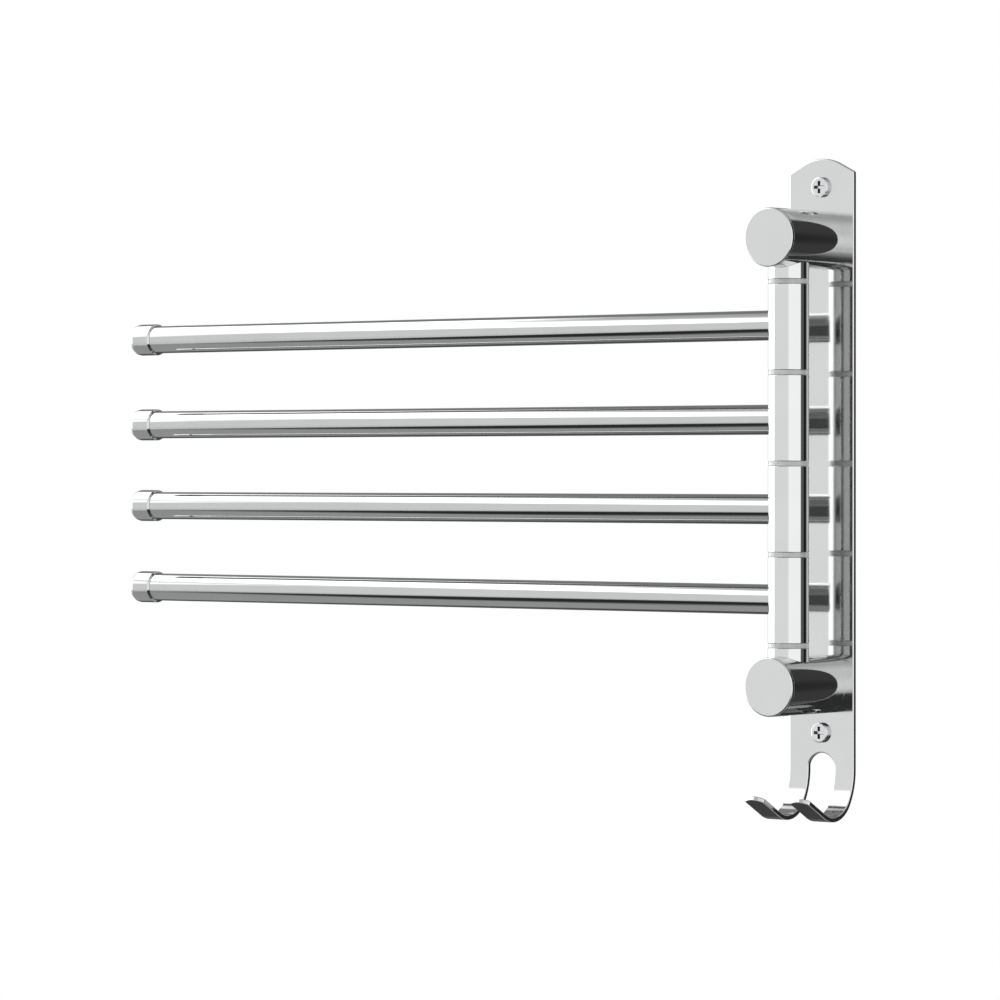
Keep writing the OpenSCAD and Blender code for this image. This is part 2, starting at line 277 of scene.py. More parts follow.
# Meshes
def round_profile(corners, closed):
    """Profile of (radius, height) points from corners of (radius, height, rounding)."""
    points = []
    for i, (x, y, size) in enumerate(corners):
        if size <= 0:
            points.append((x, y))
            continue
        here = Vector((x, y))
        before = Vector(corners[i - 1][:2]) - here
        after = Vector(corners[(i + 1) % len(corners)][:2]) - here
        turn = before.angle(after)
        reach = min(size / math.tan(turn / 2), before.length * RUN_SHARE, after.length * RUN_SHARE)
        a = here + before.normalized() * reach
        b = here + after.normalized() * reach
        inwards = (before.normalized() + after.normalized()).normalized()
        middle = here + inwards * (reach / math.cos(turn / 2))
        radius = (a - middle).length
        start, stop = a - middle, b - middle
        sweep = start.angle_signed(stop)
        for k in range(FILLET_STEPS + 1):
            t = -sweep * k / FILLET_STEPS
            v = Vector((start.x * math.cos(t) - start.y * math.sin(t),
                        start.x * math.sin(t) + start.y * math.cos(t)))
            p = middle + v.normalized() * radius
            points.append((p.x, p.y))
    return supported(points, closed)


def supported(points, closed):
    """Adds a point near both ends of every long run, so that its shading stays flat."""
    out = []
    for i, point in enumerate(points):
        out.append(point)
        if not closed and i == len(points) - 1:
            continue
        a, b = Vector(point), Vector(points[(i + 1) % len(points)])
        if (b - a).length > LONG_RUN:
            way = (b - a).normalized() * SUPPORT
            out += [tuple(a + way), tuple(b - way)]
    return out


def skin(bm, rings, closed):
    """Joins each ring of points to the next. Closed rings form a loop, and open ones get flat ends."""
    following = rings[1:] + rings[:1] if closed else rings[1:]
    for a, b in zip(rings, following):
        for k in range(len(a)):
            n = (k + 1) % len(a)
            bm.faces.new((a[k], a[n], b[n], b[k]))
    if not closed:
        bm.faces.new(rings[0])
        bm.faces.new(rings[-1])


def lathe(profile, place, closed, steps=ROUND_STEPS):
    """Mesh turned from a profile of (radius, height): place(radius, angle, height) gives the point.

    An open profile starts and ends on the axis, where the flat ends take the place of its points."""
    bm = bmesh.new()
    rings = []
    for r, h in profile:
        if r > TINY:
            rings.append([bm.verts.new(place(r, 2 * math.pi * k / steps, h)) for k in range(steps)])
    skin(bm, rings, closed)
    return bm


def upright(cx, cy):
    return lambda r, a, h: (cx + r * math.cos(a), cy + r * math.sin(a), h)


def out_of_wall(cx, cz):
    return lambda r, a, h: (cx + r * math.cos(a), -h, cz + r * math.sin(a))


def along_left(cy, cz):
    return lambda r, a, h: (-h, cy + r * math.cos(a), cz + r * math.sin(a))


def mesh_in_metres(name, bm):
    """Mesh in metres from a bmesh in millimetres, which it frees."""
    bmesh.ops.scale(bm, vec=(MM, MM, MM), verts=bm.verts)
    bmesh.ops.recalc_face_normals(bm, faces=bm.faces)
    mesh = bpy.data.meshes.new(name)
    bm.to_mesh(mesh)
    bm.free()
    return mesh


def smooth_shading(mesh, sharp):
    mesh.shade_smooth()
    mesh.set_sharp_from_angle(angle=math.radians(sharp))


def paint(ob, material):
    ob.data.materials.clear()
    ob.data.materials.append(material)


def dress(ob, material, body, nodes):
    """Rides a piece on a body, in place of the CAD nodes, and gives it its material."""
    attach(ob, body)
    if nodes:
        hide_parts(*nodes)
    paint(ob, material)


def new_piece(name, bm, material, body, nodes, sharp=SHARP_ANGLE):
    """Piece from a bmesh in millimetres. Edges that turn by more than sharp degrees stay sharp."""
    mesh = mesh_in_metres(name, bm)
    smooth_shading(mesh, sharp)
    ob = add_object(name, mesh)
    weighted = ob.modifiers.new("weighted normals", "WEIGHTED_NORMAL")
    weighted.keep_sharp = True
    dress(ob, material, body, nodes)
    return ob


def cut(ob, cutter_bm):
    """Takes the cutter's volume out of a piece. The weighted normals are worked out after it."""
    cutter = add_object("cutter", mesh_in_metres("cutter", cutter_bm))
    boolean = ob.modifiers.new("cut", "BOOLEAN")
    boolean.operation = "DIFFERENCE"
    boolean.solver = "EXACT"
    boolean.object = cutter
    ob.modifiers.move(len(ob.modifiers) - 1, 0)
    bpy.context.view_layer.update()
    weighted = ob.modifiers["weighted normals"]
    weighted.show_viewport = False
    done = bpy.data.meshes.new_from_object(ob.evaluated_get(bpy.context.evaluated_depsgraph_get()))
    weighted.show_viewport = True
    ob.modifiers.remove(boolean)
    materials = list(ob.data.materials)
    ob.data = done
    done.materials.clear()
    for material in materials:
        done.materials.append(material)
    smooth_shading(done, SHARP_ANGLE)
    bpy.data.objects.remove(cutter, do_unlink=True)


# Outline of the unrolled strip
class Line:
    """Straight run of the outline, with the steel on its left."""

    def __init__(self, start, end, stops=()):
        self.a, self.b = Vector(start), Vector(end)
        self.length = (self.b - self.a).length
        self.way = (self.b - self.a).normalized()
        self.stops = stops

    def at(self, s):
        p = self.a + self.way * s
        return p, Vector((self.way.y, -self.way.x))

    def samples(self, lo, hi):
        inner = sorted(abs(v - self.a.y) for v in self.stops)
        return [lo] + [s for s in inner if lo + ROW_CLEARANCE < s < hi - ROW_CLEARANCE] + [hi]


class Arc:
    """Round run of the outline about a centre, anticlockwise where the sweep is positive."""

    def __init__(self, centre, radius, start, sweep):
        self.c, self.r, self.start, self.sweep = Vector(centre), radius, start, sweep
        self.length = abs(sweep) * radius

    def at(self, s):
        a = self.start + self.sweep * s / self.length
        out = Vector((math.cos(a), math.sin(a)))
        return self.c + out * self.r, out if self.sweep > 0 else -out

    def samples(self, lo, hi):
        count = max(ARC_LEAST_STEPS, int(math.degrees((hi - lo) / self.r) / ARC_STEP_DEGREES))
        return [lo + (hi - lo) * k / count for k in range(count + 1)]


def loop_points(runs, corner):
    """Points and outward normals of a closed outline, with its sharp corners slightly rounded."""
    loop = []
    following = runs[1:] + runs[:1]
    sharp = []
    for run, after in zip(runs, following):
        sharp.append(run.at(run.length)[1].angle(after.at(0.0)[1]) > SHARP_TURN)
    for i, (run, after) in enumerate(zip(runs, following)):
        lo = corner if sharp[i - 1] else 0.0
        hi = run.length - (corner if sharp[i] else 0.0)
        stops = run.samples(lo, hi)
        if not sharp[i]:
            loop += [run.at(s) for s in stops[:-1]]
            continue
        loop += [run.at(s) for s in stops]
        a = run.at(hi)[0]
        b = after.at(corner)[0]
        mid = run.at(run.length)[0]
        for k in range(1, CORNER_STEPS):
            t = k / CORNER_STEPS
            p = a * (1 - t) ** 2 + mid * 2 * t * (1 - t) + b * t * t
            way = (mid - a) * (1 - t) + (b - mid) * t
            loop.append((p, Vector((way.y, -way.x)).normalized()))
    return loop


def circle_points(cx, cz, r):
    """Edge of a round hole, clockwise, so that the steel is on its left."""
    loop = []
    for k in range(HOLE_STEPS):
        a = -2 * math.pi * k / HOLE_STEPS
        out = Vector((math.cos(a), math.sin(a)))
        loop.append((Vector((cx, cz)) + out * r, -out))
    return loop


def bend_rows():
    """Heights in the unrolled strip at which the bends are divided."""
    rows = [BEND_Z]
    wide = int(math.ceil(WIDE_ANGLE / BEND_STEP))
    rows += [BEND_Z - WIDE_R * WIDE_ANGLE * (k + 1) / wide for k in range(wide)]
    tight = int(math.ceil((TIP_ANGLE - WIDE_ANGLE) / BEND_STEP))
    step = TIGHT_R * (TIP_ANGLE - WIDE_ANGLE) / tight
    rows += [rows[wide] - step * (k + 1) for k in range(tight)]
    return rows


def strip_runs(half, crown_z, rows):
    """Outline of the unrolled strip, anticlockwise from its left shoulder."""
    shoulder_z = crown_z - SHOULDER_DROP
    peak_z = shoulder_z + half * math.tan(SHOULDER_SLOPE)
    crown_r = (peak_z - crown_z) / (1 / math.cos(SHOULDER_SLOPE) - 1)
    foot = crown_r * math.sin(SHOULDER_SLOPE)
    foot_z = crown_z - crown_r + crown_r * math.cos(SHOULDER_SLOPE)
    tip_z = rows[-1] - TIP_LEN
    prong = (half - SLOT_HALF) / 2
    middle = (half + SLOT_HALF) / 2
    tip_r = (prong ** 2 + TIP_CROWN ** 2) / (2 * TIP_CROWN)
    tip_half = math.asin(prong / tip_r)
    tip_centre_z = tip_z + tip_r - TIP_CROWN
    arch_z = SLOT_TOP_Z - ARCH_R
    slot_z = arch_z + math.sqrt(ARCH_R ** 2 - SLOT_HALF ** 2)
    arch_start = math.atan2(slot_z - arch_z, SLOT_HALF)
    down = -math.pi / 2
    return [
        Line((-half, shoulder_z), (-half, tip_z), rows),
        Arc((-middle, tip_centre_z), tip_r, down - tip_half, 2 * tip_half),
        Line((-SLOT_HALF, tip_z), (-SLOT_HALF, slot_z), rows),
        Arc((0, arch_z), ARCH_R, math.pi - arch_start, 2 * arch_start - math.pi),
        Line((SLOT_HALF, slot_z), (SLOT_HALF, tip_z), rows),
        Arc((middle, tip_centre_z), tip_r, down - tip_half, 2 * tip_half),
        Line((half, tip_z), (half, shoulder_z), rows),
        Line((half, shoulder_z), (foot, foot_z)),
        Arc((0, crown_z - crown_r), crown_r, math.pi / 2 - SHOULDER_SLOPE, 2 * SHOULDER_SLOPE),
        Line((-foot, foot_z), (-half, shoulder_z)),
    ]


def rounded_edge(back, front):
    """Section of an edge from the back face to the front: inset, depth, outward and deepward normal."""
    section = []
    for k in range(EDGE_STEPS + 1):
        a = math.pi / 2 * k / EDGE_STEPS
        section.append((back * (1 - math.sin(a)), back * (1 - math.cos(a)), math.sin(a), -math.cos(a)))
    for k in range(EDGE_STEPS + 1):
        a = math.pi / 2 * (1 - k / EDGE_STEPS)
        section.append((front * (1 - math.sin(a)), PLATE_T - front * (1 - math.cos(a)),
                        math.sin(a), math.cos(a)))
    return section


def sunk_edge():
    """Section of a countersunk hole, from the back face to the front."""
    rim, slant = SINK_RIM, math.sqrt(0.5)
    wide = SINK_R - SHANK_HOLE_R
    return [(wide + rim, 0.0, 0.0, -1.0), (wide - rim, rim, slant, -slant),
            (rim, wide - rim, slant, -slant), (0.0, wide + rim, 1.0, 0.0),
            (0.0, PLATE_T - rim, 1.0, 0.0), (rim, PLATE_T, 0.0, 1.0)]


def bent(x, v, depth, nx, nv, nd):
    """Point and normal of the unrolled strip, laid on its bent path."""
    if v >= BEND_Z:
        return (x, -depth, v), (nx, -nd, nv)
    s = BEND_Z - v
    wide = WIDE_R * WIDE_ANGLE
    tight = TIGHT_R * (TIP_ANGLE - WIDE_ANGLE)
    if s <= wide:
        angle, centre, radius, rest = s / WIDE_R, (-WIDE_R, BEND_Z), WIDE_R, 0.0
    else:
        far = WIDE_R - TIGHT_R
        centre = (-WIDE_R + far * math.cos(WIDE_ANGLE), BEND_Z - far * math.sin(WIDE_ANGLE))
        radius = TIGHT_R
        angle = min(WIDE_ANGLE + (s - wide) / TIGHT_R, TIP_ANGLE)
        rest = max(0.0, s - wide - tight)
    out = (math.cos(angle), -math.sin(angle))
    way = (-math.sin(angle), -math.cos(angle))
    y = centre[0] + out[0] * (radius - depth) + way[0] * rest
    z = centre[1] + out[1] * (radius - depth) + way[1] * rest
    return (x, y, z), (nx, -nv * way[0] - nd * out[0], -nv * way[1] - nd * out[1])


def inside(p, loops):
    """True if a flat point lies in the steel: it is inside an odd number of loops."""
    odd = False
    for loop in loops:
        for i in range(len(loop)):
            a, b = loop[i - 1], loop[i]
            if (a.y > p.y) != (b.y > p.y) and p.x < (b.x - a.x) * (p.y - a.y) / (b.y - a.y) + a.x:
                odd = not odd
    return odd


def face_triangles(loops, rows):
    """Triangles of the flat face between the loops, divided along the rows.

    They are given as places in the list of all the loops' points."""
    points, edges = [], []
    for loop in loops:
        base = len(points)
        points += loop
        edges += [(base + i, base + (i + 1) % len(loop)) for i in range(len(loop))]
    for row in rows:
        level = [i for i in range(len(loops[0])) if abs(points[i].y - row) < TINY]
        level.sort(key=lambda i: points[i].x)
        edges += [(level[i], level[i + 1]) for i in range(0, len(level) - 1, 2)]
    made, _, faces, origin = delaunay_2d_cdt(points, edges, [], HULL_TRIANGLES, MERGE_DISTANCE)[:4]
    found = []
    for face in faces:
        centre = sum((made[i] for i in face), Vector((0, 0))) / len(face)
        if inside(centre, loops):
            found.append([origin[i][0] for i in face])
    return found


# Back plate
def plate_edges(half, crown_z, rows, holes, sunk_holes):
    """The outline and every hole of the unrolled strip, each with the section of its edge."""
    edges = [(loop_points(strip_runs(half, crown_z, rows), CORNER), rounded_edge(BACK_EDGE, FRONT_EDGE))]
    edges += [(circle_points(0.0, z, WALL_HOLE_R), rounded_edge(HOLE_EDGE, HOLE_EDGE)) for z in holes]
    edges += [(circle_points(0.0, z, SHANK_HOLE_R), sunk_edge()) for z in sunk_holes]
    return edges


def plate_mesh(verts, normals, faces, cut_faces):
    """Mesh whose cut faces take the second material."""
    mesh = bpy.data.meshes.new("plate_strip")
    mesh.from_pydata(verts, [], faces)
    bm = bmesh.new()
    bm.from_mesh(mesh)
    for face in bm.faces:
        face.material_index = 1 if face.index in cut_faces else 0
    bmesh.ops.recalc_face_normals(bm, faces=bm.faces)
    bm.to_mesh(mesh)
    bm.free()
    mesh.shade_smooth()
    mesh.normals_split_custom_set_from_vertices(normals)
    return mesh


def back_plate(material, edge_material, holes, sunk_holes):
    """Bent strip. The cut edge is the outline's back rounding and the flat between its roundings."""
    hi = box_mm("back_plate")[1]
    rows = bend_rows()
    verts, normals, faces = [], [], []
    cut_faces = set()
    back_points, front_points = [], []
    back_loops, front_loops = [], []
    for loop, section in plate_edges(hi.x, hi.z, rows, holes, sunk_holes):
        base = len(verts)
        count = len(loop)
        for inset, depth, out, deep in section:
            for p, n in loop:
                q = p - n * inset
                point, normal = bent(q.x, q.y, depth, n.x * out, n.y * out, deep)
                verts.append(Vector(point) * MM)
                normals.append(Vector(normal).normalized())
        for k in range(len(section) - 1):
            a, b = base + k * count, base + (k + 1) * count
            for i in range(count):
                j = (i + 1) % count
                if base == 0 and k <= EDGE_STEPS:
                    cut_faces.add(len(faces))
                faces.append((a + i, a + j, b + j, b + i))
        back_points += range(base, base + count)
        front_points += range(base + (len(section) - 1) * count, base + len(section) * count)
        back_loops.append([p - n * section[0][0] for p, n in loop])
        front_loops.append([p - n * section[-1][0] for p, n in loop])
    for loops, points, flip in ((back_loops, back_points, False), (front_loops, front_points, True)):
        for triangle in face_triangles(loops, rows):
            corners = [points[i] for i in triangle]
            faces.append(tuple(reversed(corners)) if flip else tuple(corners))
    ob = add_object("plate_strip", plate_mesh(verts, normals, faces, cut_faces))
    dress(ob, material, "wall_frame", ["back_plate"])
    ob.data.materials.append(edge_material)


# Posts, collars and the pieces that turn between them
def post(end, material, rod_at, side):
    lo, hi = box_mm(f"{end}_post")
    r, z = (hi.x - lo.x) / 2, (lo.z + hi.z) / 2
    bore = r - TUBE_WALL
    end_y = -lo.y - DISC_SLIT
    profile = round_profile([(bore, -hi.y, 0), (r, -hi.y, TUBE_RIM), (r, end_y, CRISP),
                             (bore, end_y, 0)], True)
    ob = new_piece(f"{end}_post_tube", lathe(profile, out_of_wall(0.0, z), True), material,
                   "wall_frame", [f"{end}_post"])
    past = z - side * (r + ROD_HOLE_OVERRUN)
    cut(ob, lathe([(0, z), (ROD_HOLE_R, z), (ROD_HOLE_R, past), (0, past)], upright(*rod_at), False,
                  HOLE_STEPS))


def post_cap(end, material):
    """Disc with a hollow spigot, which leaves a thin slit in front of the post."""
    lo, hi = box_mm(f"{end}_post_cap")
    post_lo = box_mm(f"{end}_post")[0]
    r, z = (hi.x - lo.x) / 2, (lo.z + hi.z) / 2
    face, seam, foot = -lo.y, -post_lo.y + DISC_SLIT, -hi.y
    spigot = r - TUBE_WALL - SPIGOT_GAP
    hollow, hollow_end = spigot - SPIGOT_WALL, foot + SPIGOT_FLOOR
    profile = round_profile([(0, hollow_end, 0), (hollow, hollow_end, 0), (hollow, foot, 0),
                             (spigot, foot, 0), (spigot, seam, 0), (r, seam, CRISP),
                             (r, face, DISC_RIM), (0, face, 0)], False)
    new_piece(f"{end}_post_disc", lathe(profile, out_of_wall(0.0, z), False), material,
              "wall_frame", [f"{end}_post_cap"])


def collar(end, material, side):
    """Ring whose far end is cut to fit the round post."""
    lo, hi = box_mm(f"{end}_collar")
    post_lo, post_hi = box_mm(f"{end}_post")
    r = (hi.x - lo.x) / 2
    cx, cy = (lo.x + hi.x) / 2, (lo.y + hi.y) / 2
    flat = lo.z if side > 0 else hi.z
    axis_z = (post_lo.z + post_hi.z) / 2
    cut_r = (post_hi.x - post_lo.x) / 2 + SADDLE_GAP
    bm = bmesh.new()

    def ring(radius, height_at):
        made = []
        for k in range(ROUND_STEPS):
            a = 2 * math.pi * k / ROUND_STEPS
            x, y = cx + radius * math.cos(a), cy + radius * math.sin(a)
            made.append(bm.verts.new((x, y, height_at(x))))
        return made

    def level(height):
        return lambda x: height

    def saddle(x):
        return axis_z - side * math.sqrt(cut_r ** 2 - x ** 2)

    rings = [ring(ROD_HOLE_R, level(flat)), ring(r - SLEEVE_RIM, level(flat))]
    for k in range(1, FILLET_STEPS + 1):
        a = math.pi / 2 * k / FILLET_STEPS
        rim = level(flat + side * SLEEVE_RIM * (1 - math.cos(a)))
        rings.append(ring(r - SLEEVE_RIM * (1 - math.sin(a)), rim))
    for k in range(SADDLE_STEPS + 1):
        rings.append(ring(r + (ROD_HOLE_R - r) * k / SADDLE_STEPS, saddle))
    skin(bm, rings, True)
    new_piece(f"{end}_collar_ring", bm, material, "wall_frame", [f"{end}_collar"])


def ring_piece(node, name, bore, rounding, material, body):
    """Washer or sleeve with rounded rims."""
    lo, hi = box_mm(node)
    r = (hi.x - lo.x) / 2
    profile = round_profile([(bore, lo.z, BORE_RIM), (r, lo.z, rounding), (r, hi.z, rounding),
                             (bore, hi.z, BORE_RIM)], True)
    bm = lathe(profile, upright((lo.x + hi.x) / 2, (lo.y + hi.y) / 2), True)
    new_piece(name, bm, material, body, [node])


# Arms
def arm_tube(n, material):
    """Tube whose root is cut to fit round the sleeve."""
    lo, hi = box_mm(f"arm_tube_{n}")
    sleeve_lo, sleeve_hi = box_mm(f"sleeve_{n}")
    r, z = (hi.z - lo.z) / 2, (hi.z + lo.z) / 2
    cx, cy = (sleeve_lo.x + sleeve_hi.x) / 2, (sleeve_lo.y + sleeve_hi.y) / 2
    cope = (sleeve_hi.x - sleeve_lo.x) / 2 + SADDLE_GAP
    bm = bmesh.new()
    rings = []
    for radius, root in ((r, True), (r, False), (r - ARM_WALL, False), (r - ARM_WALL, True)):
        made = []
        for k in range(ROUND_STEPS):
            a = 2 * math.pi * k / ROUND_STEPS
            dy = radius * math.cos(a)
            x = cx - math.sqrt(cope ** 2 - dy ** 2) if root else lo.x
            made.append(bm.verts.new((x, cy + dy, z + radius * math.sin(a))))
        rings.append(made)
    skin(bm, rings, True)
    new_piece(f"arm_{n}_tube", bm, material, f"arm_{n}", [f"arm_tube_{n}"])


def end_cap(n, material):
    """Round-nosed cap with a tapered step at its mouth, which slips over the arm tube."""
    lo, hi = box_mm(f"end_cap_{n}")
    tube_lo, tube_hi = box_mm(f"arm_tube_{n}")
    r = (hi.z - lo.z) / 2
    bore = (tube_hi.z - tube_lo.z) / 2 + SADDLE_GAP
    start, tip = -hi.x, -lo.x
    inner_end = start + CAP_DEPTH
    profile = round_profile([(0, inner_end, 0), (bore, inner_end, 0), (bore, start, CAP_LIP_RIM),
                             (r - STEP_TAPER, start, CAP_LIP_RIM), (r, start + STEP_TAPER, CAP_STEP_RIM),
                             (r, tip, CAP_ROUND), (0, tip, 0)], False)
    place = along_left((lo.y + hi.y) / 2, (lo.z + hi.z) / 2)
    new_piece(f"arm_{n}_cap", lathe(profile, place, False), material,
              f"arm_{n}", [f"end_cap_{n}"], CAP_SHARP_ANGLE)


# Screws
def cross_cutter(cz, face, into):
    """Cross recess that tapers from a screw's face into its head."""
    shape = []
    for k in range(4):
        a = math.pi / 2 * k
        for u, v in ((CROSS_HALF, -CROSS_HALF), (CROSS_REACH, -CROSS_HALF), (CROSS_REACH, CROSS_HALF)):
            shape.append((u * math.cos(a) - v * math.sin(a), u * math.sin(a) + v * math.cos(a)))
    bm = bmesh.new()
    rings = []
    for share, along in ((CROSS_MOUTH_SHARE, -CROSS_OVERRUN), (CROSS_FLOOR_SHARE, CROSS_DEPTH)):
        rings.append([bm.verts.new((x * share, face + into * along, cz + z * share)) for x, z in shape])
    skin(bm, rings, False)
    return bm


def shade_recess(ob, material, face_y):
    """Gives the side walls of a cross recess a near-black material: painted shade in the recess."""
    ob.data.materials.append(material)
    for poly in ob.data.polygons:
        sunk = poly.center.y - face_y > RECESS_START * MM and abs(poly.center.x) < CROSS_REACH * MM
        if sunk and abs(poly.normal.y) < RECESS_STEEPNESS and poly.center.y < -PLATE_T * MM:
            poly.material_index = 1


def thread(cz, start, end):
    """Threaded shank from the neck's end to its point, as one closed skin."""
    rows = int((end - start) / PITCH * TURN_ROWS)
    place = out_of_wall(0.0, cz)
    bm = bmesh.new()
    rings = []
    for i in range(rows + 1):
        h = start + (end - start) * i / rows
        taper = min(1.0, (end - h) / POINT_LEN)
        fade = min(1.0, (h - start) / PITCH)
        row = []
        for k in range(THREAD_STEPS):
            phase = (h / PITCH - k / THREAD_STEPS) % 1.0
            ridge = max(0.0, 1 - abs(phase - 0.5) / RIDGE_SHARE) * fade
            radius = (CORE_R + (THREAD_R - CORE_R) * ridge) * max(taper, POINT_SHARE)
            row.append(bm.verts.new(place(radius, 2 * math.pi * k / THREAD_STEPS, -h)))
        rings.append(row)
    skin(bm, rings, False)
    return bm


def wall_screw(end, material, recess_shade_material):
    """Pan head with its neck, and the threaded shank behind it as a piece of its own."""
    lo, hi = box_mm(f"{end}_wall_screw")
    r, z = (hi.x - lo.x) / 2, (lo.z + hi.z) / 2
    top = -lo.y
    profile = round_profile([(0, -NECK_END, 0), (NECK_R, -NECK_END, 0), (NECK_R, PLATE_T, 0),
                             (r, PLATE_T, HEAD_FOOT_RIM), (r, top, HEAD_RIM), (0, top, 0)], False)
    head = lathe(profile, out_of_wall(0.0, z), False, SCREW_STEPS)
    ob = new_piece(f"{end}_wall_screw_head", head, material, "wall_frame",
                   [f"{end}_wall_screw"])
    cut(ob, cross_cutter(z, lo.y, 1))
    # painted shade on the walls of the cross recess
    shade_recess(ob, recess_shade_material, lo.y * MM)
    new_piece(f"{end}_wall_screw_thread", thread(z, NECK_END - THREAD_LAP, hi.y), material,
              "wall_frame", [], THREAD_SHARP_ANGLE)


def post_screw(end, material):
    """Countersunk screw that holds a post from behind the plate."""
    lo, hi = box_mm(f"{end}_post_screw")
    r, z = (hi.x - lo.x) / 2, (lo.z + hi.z) / 2
    shank = POST_SHANK_R
    profile = round_profile([(0, 0, 0), (r, 0, POST_HEAD_RIM), (shank, r - shank, POST_NECK_RIM),
                             (shank, -lo.y, POST_END_RIM), (0, -lo.y, 0)], False)
    body = lathe(profile, out_of_wall(0.0, z), False, SCREW_STEPS)
    ob = new_piece(f"{end}_post_screw_body", body, material, "wall_frame",
                   [f"{end}_post_screw"])
    cut(ob, cross_cutter(z, 0.0, -1))


# Materials
def node_material(name):
    material = bpy.data.materials.new(name)
    material.use_nodes = True
    tree = material.node_tree
    return material, tree, tree.nodes["Principled BSDF"]


def noise(tree, scale, detail=2.0):
    """Noise over the object's own coordinates: scale is in cells per metre."""
    coords = tree.nodes.new("ShaderNodeTexCoord")
    tex = tree.nodes.new("ShaderNodeTexNoise")
    tex.inputs["Scale"].default_value = scale
    tex.inputs["Detail"].default_value = detail
    tree.links.new(coords.outputs["Object"], tex.inputs["Vector"])
    return tex.outputs["Fac"]


def spread(tree, source, lo, hi, start=NOISE_LOW, end=NOISE_HIGH):
    """Takes a value between start and end to one between lo and hi."""
    node = tree.nodes.new("ShaderNodeMapRange")
    node.inputs["From Min"].default_value = start
    node.inputs["From Max"].default_value = end
    node.inputs["To Min"].default_value = lo
    node.inputs["To Max"].default_value = hi
    tree.links.new(source, node.inputs["Value"])
    return node.outputs["Result"]


def blend_colour(tree, source, low, high):
    node = tree.nodes.new("ShaderNodeMix")
    node.data_type = "RGBA"
    node.inputs["A"].default_value = (*low, 1)
    node.inputs["B"].default_value = (*high, 1)
    tree.links.new(source, node.inputs["Factor"])
    return node.outputs["Result"]


def bump(tree, shader, source, depth):
    """Fine relief of the given depth in metres."""
    node = tree.nodes.new("ShaderNodeBump")
    node.inputs["Strength"].default_value = 1.0
    node.inputs["Distance"].default_value = depth
    tree.links.new(source, node.inputs["Height"])
    tree.links.new(node.outputs["Normal"], shader.inputs["Normal"])


def steel(name):
    dark, light, roughness, grain, relief = STEELS[name]
    material, tree, shader = node_material(name)
    shader.inputs["Metallic"].default_value = 1.0
    patches = spread(tree, noise(tree, TINT_SCALE), 0.0, 1.0)
    tree.links.new(blend_colour(tree, patches, dark, light), shader.inputs["Base Color"])
    wear = spread(tree, noise(tree, WEAR_SCALE, WEAR_DETAIL), *roughness)
    tree.links.new(wear, shader.inputs["Roughness"])
    bump(tree, shader, noise(tree, grain, GRAIN_DETAIL), relief)
    return material


def nylon_material():
    material, tree, shader = node_material("nylon_natural")
    cloud = spread(tree, noise(tree, NYLON_TINT_SCALE, NYLON_TINT_DETAIL), 0.0, 1.0)
    tree.links.new(blend_colour(tree, cloud, NYLON_DARK, NYLON_LIGHT), shader.inputs["Base Color"])
    wear = spread(tree, noise(tree, NYLON_WEAR_SCALE), *NYLON_ROUGHNESS)
    tree.links.new(wear, shader.inputs["Roughness"])
    shader.inputs["Coat Weight"].default_value = NYLON_COAT
    shader.inputs["Coat Roughness"].default_value = NYLON_COAT_ROUGHNESS
    shader.inputs["Subsurface Weight"].default_value = NYLON_SCATTER
    shader.inputs["Subsurface Radius"].default_value = NYLON_SCATTER_RADIUS
    bump(tree, shader, noise(tree, NYLON_GRAIN), NYLON_RELIEF)
    return material


# Stage
def seen_rays(tree):
    """1 for camera, glossy and transmission rays, and 0 for all others."""
    path = tree.nodes.new("ShaderNodeLightPath")
    total = path.outputs["Is Camera Ray"]
    for name in ("Is Glossy Ray", "Is Transmission Ray"):
        larger = tree.nodes.new("ShaderNodeMath")
        larger.operation = "MAXIMUM"
        tree.links.new(total, larger.inputs[0])
        tree.links.new(path.outputs[name], larger.inputs[1])
        total = larger.outputs[0]
    return total


def make_world(level):
    """White world where it is seen, and a plain level of light for all other rays."""
    world = bpy.data.worlds.new("studio")
    bpy.context.scene.world = world
    world.use_nodes = True
    tree = world.node_tree
    back = tree.nodes["Background"]
    back.inputs["Color"].default_value = (1, 1, 1, 1)
    tree.links.new(spread(tree, seen_rays(tree), level, 1.0, 0.0, 1.0), back.inputs["Strength"])


def mixed_shader(tree, share, first, second):
    """Shader that goes from the first to the second as the share rises from 0 to 1."""
    mix = tree.nodes.new("ShaderNodeMixShader")
    for socket, source in zip(mix.inputs, (share, first, second)):
        tree.links.new(source, socket)
    return mix.outputs[0]


def floor_material(radius):
    """Pale floor that is half white where it is seen, and fades out towards its rim."""
    material, tree, shader = node_material("floor")
    shader.inputs["Base Color"].default_value = FLOOR_TINT
    shader.inputs["Roughness"].default_value = FLOOR_ROUGHNESS
    glow = tree.nodes.new("ShaderNodeEmission")
    share = spread(tree, seen_rays(tree), 0.0, FLOOR_GLOW_SHARE, 0.0, 1.0)
    pale = mixed_shader(tree, share, shader.outputs[0], glow.outputs[0])
    coords = tree.nodes.new("ShaderNodeTexCoord")
    length = tree.nodes.new("ShaderNodeVectorMath")
    length.operation = "LENGTH"
    tree.links.new(coords.outputs["Object"], length.inputs[0])
    fade_start, fade_end = radius * FADE_START_SHARE, radius * FADE_END_SHARE
    fade = spread(tree, length.outputs["Value"], 0.0, 1.0, fade_start, fade_end)
    clear = tree.nodes.new("ShaderNodeBsdfTransparent")
    faded = mixed_shader(tree, fade, pale, clear.outputs[0])
    tree.links.new(faded, tree.nodes["Material Output"].inputs["Surface"])
    return material


